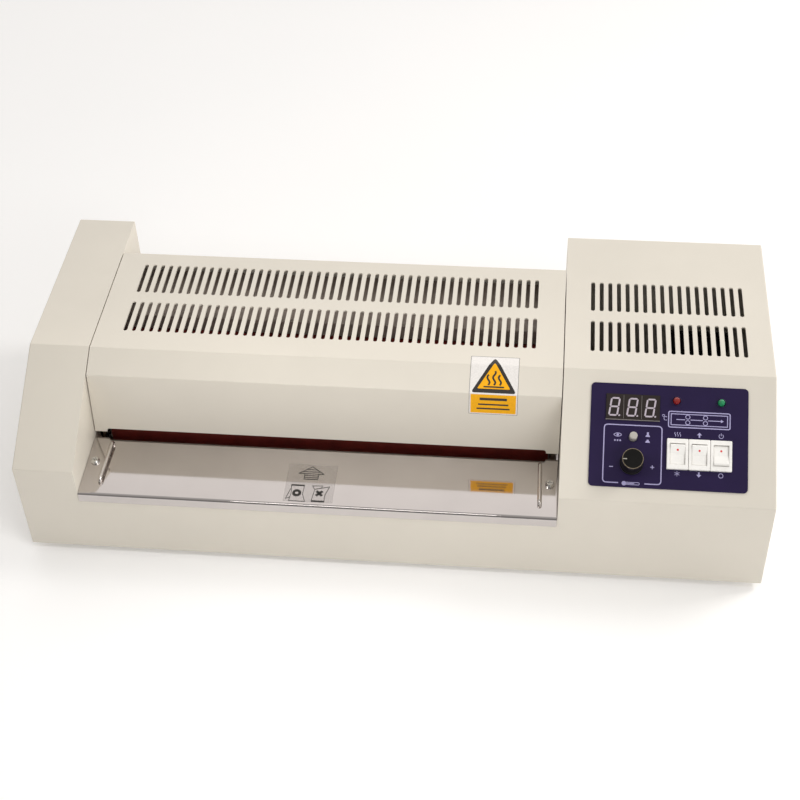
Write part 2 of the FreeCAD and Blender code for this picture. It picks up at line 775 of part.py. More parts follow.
def rollers():
    half_tooth = math.pi / float(roller_teeth)
    roller("front", "lower", front_pair, lower_axis, 137, 0)
    roller("front", "upper", front_pair, upper_axis, 129, half_tooth)
    roller("rear", "lower", rear_pair, lower_axis, 129, 0)
    roller("rear", "upper", rear_pair, upper_axis, 129, half_tooth)


STUD_RADIUS = 4
PINION_DROP = 5.0
DRIVE_CENTRES = float(gear_module * (drive_teeth + pinion_teeth)) / 2 + 0.05
PINION_Y = float(front_pair) + math.sqrt(DRIVE_CENTRES ** 2 - PINION_DROP ** 2)
PINION_Z = float(lower_axis) - PINION_DROP
DRIVE_X = 127
MOTOR_Y, MOTOR_Z = 5, 45
BRACKET_X = 136


def gear_train():
    half_tooth = math.pi / float(idler_teeth)
    stud = rod_x("stud_pin", (left_frame_x - 18.5, idler_place, lower_axis), STUD_RADIUS, 18.5)
    head = rod_x("stud_head", (left_frame_x - 20.5, idler_place, lower_axis), 6, 2)
    node("idler_stud", fuse("stud", stud, head))
    node("idler_gear", gear(
        "idler_teeth_shape", idler_teeth, half_tooth, GEAR_X, gear_width, idler_place, lower_axis,
        STUD_RADIUS + float(running_gap),
    ))
    aim = math.atan2(PINION_Z - float(lower_axis), PINION_Y - float(front_pair))
    node("drive_gear", gear(
        "drive_teeth_shape", drive_teeth, aim, DRIVE_X, gear_width - 1, front_pair, lower_axis, journal_radius,
    ))
    gap_phase = aim + math.pi + math.pi / float(pinion_teeth)
    pinion = gear("pinion_teeth_shape", pinion_teeth, gap_phase, DRIVE_X, gear_width - 0.5, PINION_Y, PINION_Z, 3)
    shaft = rod_x("motor_shaft", (DRIVE_X - 1, PINION_Y, PINION_Z), 3, BRACKET_X + 2 - DRIVE_X + 1 - 0.3)
    node("motor_pinion", fuse("pinion", pinion, shaft))


def motor():
    gearbox = rod_x("gearbox_case", (BRACKET_X + 2, MOTOR_Y, MOTOR_Z), 31, 22)
    node("motor_gearbox", gearbox)
    can = rod_x("motor_can_shape", (BRACKET_X + 24, MOTOR_Y, MOTOR_Z), 27, 38)
    cap = rod_x("motor_cap", (BRACKET_X + 62, MOTOR_Y, MOTOR_Z), 9, 3)
    node("motor_can", fuse("can", can, cap))
    sheet_metal = box("bracket_plate", (BRACKET_X, -24, 12), (2, 68, 68))
    hole = rod_x("bracket_hole", (BRACKET_X - 1, PINION_Y, PINION_Z), 5, 4)
    start = right_frame_x + frame_skin
    posts = [
        rod_x("standoff%d" % i, (start, y, z), 4, BRACKET_X - start)
        for i, (y, z) in enumerate(((-16, 20), (-16, 74), (38, 20), (38, 66)))
    ]
    node("motor_bracket", fuse("bracket", cut("bracket_drilled", sheet_metal, hole), *posts))


def heaters():
    """Quartz lamps through the front rollers, held at both ends by brackets on the frames."""
    lamps = [
        rod_x("lamp%d" % i, (-252, front_pair, z), 2.5, 397) for i, z in enumerate((lower_axis, upper_axis))
    ]
    node("heater_lamps", group("lamps", lamps))
    brackets = []
    right_start = right_frame_x + frame_skin
    for side, x, arm_x, arm in (
        ("left", -250.5, -250.5, left_frame_x + 250.5),
        ("right", 141, right_start, 142.5 - right_start),
    ):
        upright = box(side + "_lamp_plate", (x, front_pair - 8, 28), (1.5, 16, 66))
        foot = box(side + "_lamp_arm", (arm_x, front_pair - 6, 28), (arm, 12, 1.5))
        holes = [
            rod_x("%s_lamp_hole%d" % (side, i), (x - 1, front_pair, z), 2.6, 4)
            for i, z in enumerate((lower_axis, upper_axis))
        ]
        brackets.append(cut(side + "_lamp_bracket", fuse(side + "_lamp_shape", upright, foot), *holes))
    node("lamp_brackets", group("brackets", brackets))


# ---------------------------------------------------------------- fasteners and feet
def screw(name, place_at, turn, head=4.0, shank=1.9, length=6.0):
    """A pan-head screw along Z, its head's underside at the place, with a cross recess."""
    tall = 2.4
    body = turned(name, [
        (0, -length), (shank, -length), (shank, 0), (head, 0), (head, tall * 0.45), (head * 0.72, tall), (0, tall),
    ], (0, 0, 0))
    arm = 0.9
    bars = [
        box(name + "_slot0", (-arm / 2, -head * 0.55, tall - 1.1), (arm, head * 1.1, 2)),
        box(name + "_slot1", (-head * 0.55, -arm / 2, tall - 1.1), (head * 1.1, arm, 2)),
    ]
    return place(cut(name + "_crossed", body, *bars), place_at, turn)


def screws():
    lean = math.degrees(math.atan(float(tray_rise)))
    made = []
    for i, x in enumerate(TRAY_SCREWS_X):
        for edge, along, sign in (("feed", front + TRAY_SCREW_DEPTH, 1), ("exit", back - TRAY_SCREW_DEPTH, -1)):
            at = (x, along, tray_top(TRAY_SCREW_DEPTH))
            made.append(screw("%s_screw%d" % (edge, i), at, Rotation(Vector(1, 0, 0), sign * lean), 3.2))
    for side, x, sign in (("left", left, -1), ("right", right, 1)):
        for i, y in enumerate(SIDE_SCREWS_Y):
            turn = Rotation(Vector(0, 1, 0), sign * 90)
            made.append(screw("%s_side_screw%d" % (side, i), (x, y, SIDE_SCREW_Z), turn))
    for i, (x, y) in enumerate(FOOT_PLACES):
        made.append(screw("foot_screw%d" % i, (x, y, 3.4), Rotation(Vector(1, 0, 0), 180), 4, 1.9, 8))
    node("m4_screws", group("screws", made))


def feet():
    made = []
    for i, (x, y) in enumerate(FOOT_PLACES):
        section = [
            (2.1, foot_height), (2.1, 3.4), (4.6, 3.4), (4.6, 0), (foot_radius - 2, 0),
            (foot_radius - 1, 1), (foot_radius, foot_height),
        ]
        made.append(turned("foot%d" % i, section, (x, y, 0)))
    node("rubber_feet", group("feet_group", made))


# ---------------------------------------------------------------- control panel
def control_panel():
    corner = 3.0
    outline = rectangle(0, 0, panel_width, panel_height)
    overlay = padded("overlay", outline, panel_skin, (0, 0, 0))
    dressed(overlay, "Fillet", corner, lambda b: b.ZLength > 0.5)
    on_panel(overlay, PANEL_U, PANEL_V, 0)
    return node("control_panel", cut("overlay_cut", overlay, panel_openings("overlay_openings", 0.05, -2, 5)))


def display():
    digits = [
        panel_plain(
            "digit%d" % i, DIGITS_U + 0.1 + i * float(digit_width + 0.05), DIGITS_V, -7,
            (digit_width - 0.1, digit_height, 7 + panel_skin + 0.8),
        )
        for i in range(3)
    ]
    node("display_digits", group("digits", digits))
    u = DIGITS_U - 4
    board = panel_plain("panel_board_shape", u, 41, -8.8, (90, 40, 1.6))
    clear = [panel_pin("board_hole", KNOB_U, KNOB_V, -12, 12, 8)]
    for i in range(3):
        middle = SWITCH_U + i * float(switch_pitch)
        clear.append(panel_plain("board_gap%d" % i, middle - 8, SWITCH_V - 11, -12, (16, 22, 8)))
    node("panel_board", cut("panel_board_cut", board, *clear))


def led(name, u, v):
    section = [(0, -7), (2.9, -7), (2.9, -6), (2.5, -6), (2.5, 1.6), (2.35, 2.5), (1.9, 3.3), (1.1, 3.9), (0, 4.1)]
    return node(name, on_panel(turned(name + "_dome", section, (0, 0, 0)), u, v, 0))


ROCKER_REACH = 7.25
ROCKER_CORNER, ROCKER_VALLEY = 2.6, 1.5
ROCKER_TILT = 11
PIVOT_W = 0.6
SWITCH_TILTS = {"heat": ROCKER_TILT, "direction": ROCKER_TILT, "power": -ROCKER_TILT}


def proud_of_panel(bounds):
    return PANEL.inverse().multVec(bounds.Center).z > float(panel_skin) + 0.5


def switch_housing(i, name):
    middle = SWITCH_U + i * float(switch_pitch)
    block = panel_plain(
        name + "_bezel", middle - float(bezel_width) / 2, SWITCH_V - float(bezel_height) / 2, panel_skin,
        (bezel_width, bezel_height, 2.2),
    )
    bezel = rounded(block, 0.6, proud_of_panel)
    case = panel_plain(name + "_case", middle - 6.5, SWITCH_V - 9.5, -15, (13, 19, 15 + panel_skin))
    lugs = [
        panel_plain("%s_lug%d" % (name, k), middle - 2.4, SWITCH_V + v, -22, (4.8, 0.8, 7.5))
        for k, v in enumerate((-7, 0, 7))
    ]
    well = panel_plain(name + "_well", middle - 5.25, SWITCH_V - 7.5, -7, (10.5, 15, 12))
    seat = panel_pin(
        name + "_seat", middle - 6, SWITCH_V, PIVOT_W, 1.06, 12, ROTATE_TO_X,
    )
    return cut(name + "_housing", fuse(name + "_solid", bezel, case, *lugs), well, seat)


def rocker_top_edge(bounds):
    """Whether an edge of a rocker, as it is sketched, is on the outline of its two top faces."""
    across = bounds.ZLength > 1
    end = across and abs(bounds.Center.x) > 5 and bounds.Center.y > ROCKER_CORNER - 0.05
    side = not across and bounds.XLength > 5 and bounds.YMin > ROCKER_VALLEY - 0.05
    return end or side


def rocker(i, name):
    """A rocker with a shallow valley across its top and ends curved about its pivot, resting on one end."""
    middle = SWITCH_U + i * float(switch_pitch)
    corner = math.asin(ROCKER_CORNER / ROCKER_REACH)
    right_end = [
        (ROCKER_REACH * math.cos(corner - k * 0.16), ROCKER_REACH * math.sin(corner - k * 0.16)) for k in range(6)
    ]
    left_end = [(-v, w) for v, w in reversed(right_end)]
    outline = [*left_end, (0, ROCKER_VALLEY), *right_end, (3.4, -5.0), (-3.4, -5.0)]
    key = padded(name + "_key", list(reversed(outline)), rocker_width, (0, 0, 0))
    dressed(key, "Fillet", 0.6, rocker_top_edge)
    tilt = Rotation(Vector(1, 0, 0), SWITCH_TILTS[name])
    on_panel(key, middle - float(rocker_width) / 2, SWITCH_V, PIVOT_W, tilt.multiply(PROFILE_TURN))
    pin = panel_pin(name + "_pivot", middle - 5.9, SWITCH_V, PIVOT_W, 1.0, 11.8, ROTATE_TO_X)
    return node(name + "_rocker", fuse(name + "_rocker_shape", key, pin))


def switches():
    names = list(SWITCH_TILTS)
    node("switch_housings", group("housings", [switch_housing(i, name) for i, name in enumerate(names)]))
    for i, name in enumerate(names):
        rocker(i, name)


def knob():
    top = 1.4 + float(knob_height)
    grip = knob_radius
    rim = grip - 0.75
    section = [
        (3.02, 1.4), (grip + 0.5, 1.4), (grip + 0.5, 3.0), (grip, 3.6), (grip - 0.3, top - 0.9),
        (rim, top - 0.9), (rim, top), (0, top), (0, 9), (3.02, 9),
    ]
    node("temperature_knob", on_panel(turned("knob_body", section, (0, 0, 0)), KNOB_U, KNOB_V, 0))
    ring = [(rim, top - 0.9), (grip - 0.3, top - 0.9), (grip - 0.4, top + 0.1), (rim, top + 0.1)]
    node("knob_ring", on_panel(turned("ring_body", ring, (0, 0, 0)), KNOB_U, KNOB_V, 0))
    node("knob_shaft", panel_pin("shaft_body", KNOB_U, KNOB_V, -8, 3, 17))
    pot = [(0, -13), (8.5, -13), (8.5, -3), (3.35, -3), (3.35, 1.1), (3.06, 1.1), (3.06, -9), (0, -9)]
    node("potentiometer", on_panel(turned("pot_body", pot, (0, 0, 0)), KNOB_U, KNOB_V, 0))


def set_button():
    section = [
        (0, -5.5), (2.0, -5.5), (2.0, -3.5), (4.6, -3.5), (4.6, -1.7), (button_radius, -1.7),
        (button_radius, 6.3), (button_radius - 0.5, 6.8), (0, 6.8),
    ]
    node("set_button", on_panel(turned("button_body", section, (0, 0, 0)), BUTTON_U, BUTTON_V, 0))


# ---------------------------------------------------------------- fan, inlet and electronics
def fan():
    """An axial fan against the right side, whose hub and pin stand on four spokes."""
    half = float(fan_size) / 2
    x = float(right) - float(skin) - float(fan_depth)
    case = box("fan_case", (x, FAN_Y - half, FAN_Z - half), (fan_depth, fan_size, fan_size))
    ring = cut("fan_ring", case, rod_x("fan_bore", (x - 1, FAN_Y, FAN_Z), half - 2, fan_depth + 2))
    hub = rod_x("fan_hub", (x + 13, FAN_Y, FAN_Z), 12, 1.8)
    pin = rod_x("fan_pin", (x + 4, FAN_Y, FAN_Z), 1.5, 9.5)
    reach = 2 * half - 2
    level = box("fan_spoke0", (x + 13, FAN_Y - half + 1, FAN_Z - 2), (1.8, reach, 4))
    upright = box("fan_spoke1", (x + 13, FAN_Y - 2, FAN_Z - half + 1), (1.8, 4, reach))
    node("fan_frame", fuse("fan_frame_shape", ring, hub, pin, level, upright))
    shape = Part.makeCylinder(12, 11, Vector(0.8, 0, 0), Vector(1, 0, 0))
    for k in range(7):
        blade = Part.makeBox(1.2, 15.5, 12.5, Vector(-0.6, 11.2, -6.25))
        blade.rotate(Vector(0, 0, 0), Vector(0, 1, 0), 52)
        blade.translate(Vector(6.5, 0, 0))
        blade.rotate(Vector(0, 0, 0), Vector(1, 0, 0), k * 360 / 7)
        shape = shape.fuse(blade)
    bore = Part.makeCylinder(1.56, 12, Vector(3.2, 0, 0), Vector(1, 0, 0))
    node("fan_rotor", place(shaped("rotor_shape", shape.cut(bore)), (x, FAN_Y, FAN_Z)))


def inlet():
    """A three-pin mains inlet, fitted from inside with its face flush with the back."""
    y = back - 22
    flange = box("inlet_flange", (INLET_X - 24, back - skin - 2.5, INLET_Z - 11.5), (48, 2.5, 23))
    block_ = box("inlet_body", (INLET_X - 13.5, y, INLET_Z - 10), (27, 22, 20))
    well = box("inlet_well", (INLET_X - 12, back - 16, INLET_Z - 8), (24, 18, 16))
    shell = cut("inlet_shell", fuse("inlet_solid", flange, block_), well)
    pins = [
        box("inlet_pin%d" % i, (INLET_X + dx - 1, back - 17, INLET_Z + dz - 2), (2, 14, 4))
        for i, (dx, dz) in enumerate(((-7, -2), (0, 2), (7, -2)))
    ]
    node("power_inlet", fuse("inlet_shape", shell, *pins))


def electronics():
    board = box("board_plate", (150, -105, 14), (100, 52, 1.6))
    posts = [
        rod("board_post%d" % i, (x, y, floor_top), 3, 14 - floor_top)
        for i, (x, y) in enumerate(((155, -100), (245, -100), (155, -58), (245, -58)))
    ]
    parts = [
        box("relay0", (158, -96, 15.6), (19, 15, 15)),
        box("relay1", (182, -96, 15.6), (19, 15, 15)),
        box("terminal", (158, -72, 15.6), (50, 9, 11)),
        rod("capacitor0", (215, -92, 15.6), 5, 16),
        rod("capacitor1", (230, -92, 15.6), 6, 18),
        box("controller", (214, -76, 15.6), (26, 14, 3)),
    ]
    node("control_board", fuse("board_shape", board, *posts, *parts))
    core = box("transformer_core", (216, 22, floor_top), (34, 40, 32))
    winding = box("transformer_winding", (212, 30, floor_top + 6), (42, 24, 22))
    node("transformer", fuse("transformer_shape", core, winding))


# ---------------------------------------------------------------- build, check and write
main_casing()
bottom_plate()
middle_cover()
trays()
for wire_name, wire_x in GUIDES_X.items():
    guide_wire(wire_name, wire_x)
inner_frame()
nip_parts()
rollers()
gear_train()
motor()
heaters()
screws()
feet()
control_panel()
display()
for led_name, (led_u, led_v) in LED_PLACES.items():
    led(led_name, led_u, led_v)
switches()
knob()
set_button()
fan()
inlet()
electronics()
doc.recompute()

broken = [thing.Name for thing in doc.Objects if {"Invalid", "Error"} & set(thing.State)]
if broken:
    raise SystemExit("these objects failed: %s" % broken)
os.makedirs("parts", exist_ok=True)
for label, thing in nodes.items():
    shape = thing.Shape
    if shape.isNull() or not shape.isValid() or not shape.Solids or shape.Volume <= 0:
        raise SystemExit("%s has no valid solid" % label)
    shape.exportStep(os.path.join("parts", label + ".step"))
    print("%-24s %2d solids %10.1f mm3" % (label, len(shape.Solids), shape.Volume))
print(len(nodes), "nodes")
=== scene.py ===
import json
import math

import bmesh
import bpy
from mathutils import Matrix, Vector


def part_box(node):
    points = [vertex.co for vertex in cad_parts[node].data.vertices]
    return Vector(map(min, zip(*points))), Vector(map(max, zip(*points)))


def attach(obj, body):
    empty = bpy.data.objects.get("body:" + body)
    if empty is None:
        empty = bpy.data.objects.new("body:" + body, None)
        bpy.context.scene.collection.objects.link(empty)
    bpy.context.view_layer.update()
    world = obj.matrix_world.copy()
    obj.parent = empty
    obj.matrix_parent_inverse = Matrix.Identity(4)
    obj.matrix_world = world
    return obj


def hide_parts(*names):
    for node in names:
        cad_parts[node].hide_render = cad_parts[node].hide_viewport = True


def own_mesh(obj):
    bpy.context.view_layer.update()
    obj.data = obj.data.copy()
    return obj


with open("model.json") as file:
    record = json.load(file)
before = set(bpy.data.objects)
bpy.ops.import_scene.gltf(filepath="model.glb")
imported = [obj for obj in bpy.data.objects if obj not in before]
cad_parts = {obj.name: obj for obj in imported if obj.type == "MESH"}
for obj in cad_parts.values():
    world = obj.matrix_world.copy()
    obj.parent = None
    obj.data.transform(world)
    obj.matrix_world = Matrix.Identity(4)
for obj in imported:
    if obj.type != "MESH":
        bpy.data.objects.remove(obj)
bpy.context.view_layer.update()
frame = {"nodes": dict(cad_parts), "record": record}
scene = bpy.context.scene
MM = 0.001
TAU = 2 * math.pi


# ---------------------------------------------------------------- materials
NOISE_LOW, NOISE_HIGH = 0.3, 0.7  # most of a noise's values are between these


def fill_ramp(ramp, stops):
    """Gives a colour ramp its (place, colour) stops."""
    while len(ramp.elements) < len(stops):
        ramp.elements.new(0.5)
    for element, (at, color) in zip(ramp.elements, stops):
        element.position = at
        element.color = (*color, 1)


class Look:
    """A procedural material with short helpers for the nodes that its detail is made of."""

    def __init__(self, name, color, roughness=0.5, metallic=0.0, **inputs):
        self.material = bpy.data.materials.new(name)
        self.material.use_nodes = True
        self.nodes = self.material.node_tree.nodes
        self.links = self.material.node_tree.links
        self.shader = self.nodes["Principled BSDF"]
        self.color = color
        self.shader.inputs["Base Color"].default_value = (*color, 1)
        self.shader.inputs["Roughness"].default_value = roughness
        self.shader.inputs["Metallic"].default_value = metallic
        for key, value in inputs.items():
            self.shader.inputs[key.replace("_", " ")].default_value = value
        self.place = self.nodes.new("ShaderNodeTexCoord").outputs["Object"]

    def stretched(self, scale):
        mapping = self.nodes.new("ShaderNodeMapping")
        mapping.inputs["Scale"].default_value = scale
        self.links.new(self.place, mapping.inputs["Vector"])
        return mapping.outputs["Vector"]

    def noise(self, scale, detail=3.0, roughness=0.5, vector=None):
        node = self.nodes.new("ShaderNodeTexNoise")
        node.inputs["Scale"].default_value = scale
        node.inputs["Detail"].default_value = detail
        node.inputs["Roughness"].default_value = roughness
        self.links.new(vector or self.place, node.inputs["Vector"])
        return node.outputs["Fac"]

    def cells(self, scale):
        node = self.nodes.new("ShaderNodeTexVoronoi")
        node.inputs["Scale"].default_value = scale
        self.links.new(self.place, node.inputs["Vector"])
        return node.outputs["Distance"]

    def tint(self, fac, low, high, start=NOISE_LOW, end=NOISE_HIGH):
        """The base colour varies between two shades of itself."""
        node = self.nodes.new("ShaderNodeValToRGB")
        dark = [channel * low for channel in self.color]
        light = [min(1, channel * high) for channel in self.color]
        fill_ramp(node.color_ramp, [(start, dark), (end, light)])
        self.links.new(fac, node.inputs["Fac"])
        self.links.new(node.outputs["Color"], self.shader.inputs["Base Color"])

    def rough(self, fac, low, high):
        """The roughness varies between low and high."""
        node = self.nodes.new("ShaderNodeMapRange")
        node.inputs["From Min"].default_value = NOISE_LOW
        node.inputs["From Max"].default_value = NOISE_HIGH
        node.inputs["To Min"].default_value = low
        node.inputs["To Max"].default_value = high
        self.links.new(fac, node.inputs["Value"])
        self.links.new(node.outputs["Result"], self.shader.inputs["Roughness"])

    def bump(self, fac, distance, strength):
        node = self.nodes.new("ShaderNodeBump")
        node.inputs["Strength"].default_value = strength
        node.inputs["Distance"].default_value = distance
        self.links.new(fac, node.inputs["Height"])
        self.links.new(node.outputs["Normal"], self.shader.inputs["Normal"])


def powder_coat(name, color):
    look = Look(name, color, roughness=0.42)
    look.tint(look.noise(9, detail=4, roughness=0.6), low=0.965, high=1.02)
    look.rough(look.noise(60), low=0.36, high=0.50)
    look.bump(look.noise(1500, detail=2, roughness=0.45), distance=0.00005, strength=0.35)
    return look.material


def polished(name, color, roughness):
    look = Look(name, color, roughness, metallic=1.0)
    streaks = look.noise(1.0, detail=4, roughness=0.6, vector=look.stretched((14, 900, 900)))
    look.rough(streaks, low=roughness * 0.7, high=roughness * 1.7)
    look.tint(look.noise(30), low=0.97, high=1.02)
    look.bump(look.noise(5, detail=2, roughness=0.4), distance=0.0004, strength=0.12)
    return look.material


def zinc(name, color):
    look = Look(name, color, roughness=0.5, metallic=0.3)
    look.tint(look.cells(160), low=0.82, high=1.12, start=0.0, end=0.9)
    look.rough(look.noise(220), low=0.32, high=0.55)
    look.bump(look.noise(420), distance=0.00006, strength=0.3)
    return look.material


def turned_metal(name, color, roughness=0.28):
    look = Look(name, color, roughness, metallic=1.0)
    rings = look.noise(1.0, detail=2, vector=look.stretched((2600, 25, 25)))
    look.rough(rings, low=roughness * 0.75, high=roughness * 1.4)
    look.tint(look.noise(40), low=0.9, high=1.05)
    look.bump(rings, distance=0.00003, strength=0.3)
    return look.material


def moulded(name, color, roughness, **inputs):
    look = Look(name, color, roughness, **inputs)
    look.tint(look.noise(45), low=0.93, high=1.05)
    look.rough(look.noise(160), low=roughness * 0.85, high=roughness * 1.2)
    look.bump(look.noise(900, roughness=0.55), distance=0.00004, strength=0.4)
    return look.material


def rubber(name, color, roughness):
    look = Look(name, color, roughness, Sheen_Weight=0.08)
    look.tint(look.noise(70, detail=5, roughness=0.65), low=0.8, high=1.15)
    look.rough(look.noise(300, detail=4), low=roughness * 0.8, high=roughness * 1.15)
    look.bump(look.noise(1300, detail=4, roughness=0.6), distance=0.00008, strength=0.5)
    return look.material


def printed_film(name, color):
    look = Look(name, color, roughness=0.34, Specular_IOR_Level=0.22)
    look.tint(look.noise(55, detail=4), low=0.93, high=1.07)
    look.rough(look.noise(800, detail=2), low=0.30, high=0.40)
    look.bump(look.noise(2400, detail=2), distance=0.00002, strength=0.35)
    return look.material


def ink(name, color, roughness=0.5, **inputs):
    look = Look(name, color, roughness, **inputs)
    look.tint(look.noise(900, roughness=0.6), low=0.9, high=1.04)
    look.rough(look.noise(500, detail=2), low=roughness * 0.9, high=roughness * 1.1)
    return look.material


def varnished_board(name, color):
    look = Look(name, color, roughness=0.35, Coat_Weight=0.3, Coat_Roughness=0.15)
    tracks = look.cells(330)
    look.tint(tracks, low=0.75, high=1.3, start=0.2, end=0.6)
    look.bump(tracks, distance=0.00008, strength=0.25)
    return look.material


def lens(name, color):
    look = Look(name, color, roughness=0.12, Coat_Weight=0.6, Coat_Roughness=0.05)
    look.tint(look.noise(260, detail=2), low=0.7, high=1.25)
    look.bump(look.noise(500, detail=2), distance=0.00002, strength=0.2)
    return look.material


def clear_quartz(name, color):
    look = Look(name, color, roughness=0.08, Transmission_Weight=0.75)
    look.tint(look.noise(60, detail=2), low=0.95, high=1.02)
    return look.material


def clear_film(name, color, alpha):
    look = Look(name, color, roughness=0.35, Alpha=alpha)
    look.tint(look.noise(120), low=0.96, high=1.03)
    return look.material


LOOKS = {
    "casing_paint": powder_coat("cream_powder_coat", (0.70, 0.655, 0.572)),
    "polished_steel": polished("polished_stainless", (0.55, 0.515, 0.50), 0.05),
    "zinc_steel": zinc("zinc_plate", (0.36, 0.305, 0.265)),
    "shaft_steel": turned_metal("ground_steel", (0.58, 0.58, 0.59)),
    "guide_wire_steel": moulded("nickel_wire", (0.60, 0.56, 0.53), 0.24, Metallic=1.0),
    "spring_steel": turned_metal("spring_wire", (0.45, 0.45, 0.47), 0.3),
    "bronze": turned_metal("bearing_bronze", (0.26, 0.17, 0.085), 0.42),
    "red_silicone": rubber("red_silicone", (0.44, 0.060, 0.045), 0.42),
    "gear_nylon": moulded("gear_nylon", (0.78, 0.76, 0.68), 0.45),
    "motor_paint": moulded("motor_enamel", (0.035, 0.038, 0.042), 0.4),
    "quartz": clear_quartz("quartz_tube", (0.86, 0.88, 0.9)),
    "foot_rubber": rubber("foot_rubber", (0.022, 0.022, 0.022), 0.7),
    "panel_film": printed_film("indigo_film", (0.016, 0.0085, 0.046)),
    "digit_plastic": moulded("smoked_digit_face", (0.024, 0.018, 0.016), 0.34, Specular_IOR_Level=0.25),
    "circuit_board": varnished_board("green_circuit_board", (0.02, 0.16, 0.06)),
    "red_lens": lens("red_lens", (0.26, 0.010, 0.006)),
    "green_lens": lens("green_lens", (0.010, 0.23, 0.085)),
    "switch_white": moulded("white_switch_plastic", (0.91, 0.895, 0.86), 0.28),
    "knob_black": moulded("black_knob_plastic", (0.004, 0.0035, 0.003), 0.36, Specular_IOR_Level=0.2),
    "knob_chrome": polished("knob_ring_plate", (0.46, 0.38, 0.25), 0.2),
    "button_grey": moulded("grey_button_plastic", (0.46, 0.44, 0.40), 0.4),
    "black_plastic": moulded("black_moulding", (0.022, 0.022, 0.024), 0.5),
    "transformer_iron": moulded("varnished_iron", (0.10, 0.08, 0.06), 0.5),
    "screw_steel": polished("nickel_screw", (0.66, 0.65, 0.63), 0.2),
}
LILAC_INK = ink("lilac_print", (0.40, 0.37, 0.60))
SEGMENT_INK = ink("unlit_segment", (0.50, 0.44, 0.50), 0.4)
RED_INK = ink("red_dot", (0.75, 0.04, 0.04))
WHITE_INK = ink("pointer_white", (0.42, 0.40, 0.35))
YELLOW_INK = ink("label_yellow", (0.90, 0.43, 0.010), 0.45, Specular_IOR_Level=0.15)
BLACK_INK = ink("label_black", (0.018, 0.015, 0.013), 0.4)
LABEL_WHITE = ink("label_white", (0.80, 0.77, 0.74), 0.35)
# Grey for the label's edge and the digits' lower edge, also used for the pale lines painted beside the digit
# seams as painted highlights.
EDGE_GREY_AND_SEAM_HIGHLIGHT = ink("edge_grey_and_seam_highlight", (0.20, 0.18, 0.17))
TRAY_FILM = clear_film("tray_label_film", (0.16, 0.14, 0.13), 0.05)

SLOT_OF = {row["node"]: row["material_slot"] for row in frame["record"]["subparts"]}
for node_name, node_object in frame["nodes"].items():
    node_object.data.materials.clear()
    node_object.data.materials.append(LOOKS[SLOT_OF[node_name]])


# ---------------------------------------------------------------- flat shapes, in millimetres
ARC_STEPS = 16
CORNER_STEPS = 5
SHARPEST_JOIN = 0.35  # a mitred join reaches out by at most 1 / this


def bar(x0, y0, x1, y1):
    return [(x0, y0), (x1, y0), (x1, y1), (x0, y1)]


def disc(x, y, radius, count=28):
    turns = [TAU * i / count for i in range(count)]
    return [(x + radius * math.cos(a), y + radius * math.sin(a)) for a in turns]


def arc(x, y, radius, start, end):
    turns = [math.radians(start + (end - start) * i / ARC_STEPS) for i in range(ARC_STEPS + 1)]
    return [(x + radius * math.cos(a), y + radius * math.sin(a)) for a in turns]


def round_corners(points, radius, steps=CORNER_STEPS):
    """The polygon with each corner replaced by a short curve."""
    out = []
    for i, corner in enumerate(points):
        here = Vector(corner)
        before = (Vector(points[i - 1]) - here).normalized() * radius
        after = (Vector(points[(i + 1) % len(points)]) - here).normalized() * radius
        for k in range(steps + 1):
            f = k / steps
            p = here + before * (1 - f) ** 2 + after * f ** 2
            out.append((p.x, p.y))
    return out


def stroke(points, width, closed=False):
    """A line of even width through points, as quads with mitred joins."""
    count = len(points)
    sides = []
    for i, p in enumerate(points):
        here = Vector(p)
        ways = []
        if closed or i > 0:
            ways.append((here - Vector(points[i - 1])).normalized())
        if closed or i < count - 1:
            ways.append((Vector(points[(i + 1) % count]) - here).normalized())
        way = sum(ways, Vector((0, 0))).normalized()
        normal = Vector((-way.y, way.x))
        lean = max(SHARPEST_JOIN, abs(normal.dot(Vector((-ways[0].y, ways[0].x)))))
        sides.append((here + normal * width / 2 / lean, here - normal * width / 2 / lean))
    quads = []
    for i in range(count if closed else count - 1):
        (a, b), (c, d) = sides[i], sides[(i + 1) % count]
        quads.append([tuple(a), tuple(b), tuple(d), tuple(c)])
    return quads


def outline(points, width):
    return stroke(points, width, closed=True)


# ---------------------------------------------------------------- from flat shapes to pieces
WELD = 1e-4  # corners this close, in millimetres, are one


def mesh_object(name, bm, material, smooth=False):
    bmesh.ops.recalc_face_normals(bm, faces=bm.faces)
    mesh = bpy.data.meshes.new(name)
    bm.to_mesh(mesh)
    bm.free()
    mesh.materials.append(material)
    for face in mesh.polygons:
        face.use_smooth = smooth
    thing = bpy.data.objects.new(name, mesh)
    scene.collection.objects.link(thing)
    return thing


def thin_piece(name, polygons, to_world, material, thickness, cuts=(), body="chassis"):
    """Flat polygons raised to a thin solid, which to_world puts in place. It can bend wherever y is a cut."""
    bm = bmesh.new()
    for polygon in polygons:
        bm.faces.new([bm.verts.new((x, y, 0)) for x, y in polygon])
    bmesh.ops.remove_doubles(bm, verts=bm.verts, dist=WELD)
    for at in cuts:
        geometry = bm.verts[:] + bm.edges[:] + bm.faces[:]
        bmesh.ops.bisect_plane(bm, geom=geometry, plane_co=(0, at, 0), plane_no=(0, 1, 0))
    bmesh.ops.recalc_face_normals(bm, faces=bm.faces)
    raised = bmesh.ops.extrude_face_region(bm, geom=bm.faces[:])
    for vert in (g for g in raised["geom"] if isinstance(g, bmesh.types.BMVert)):
        vert.co.z = thickness
    for vert in bm.verts:
        vert.co = to_world(*vert.co)
    thing = mesh_object(name, bm, material)
    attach(thing, body)


def join_rings(bm, rings):
    """The skin between each ring of vertices and the next."""
    for low, high in zip(rings, rings[1:]):
        for i in range(len(low)):
            j = (i + 1) % len(low)
            bm.faces.new((low[i], low[j], high[j], high[i]))


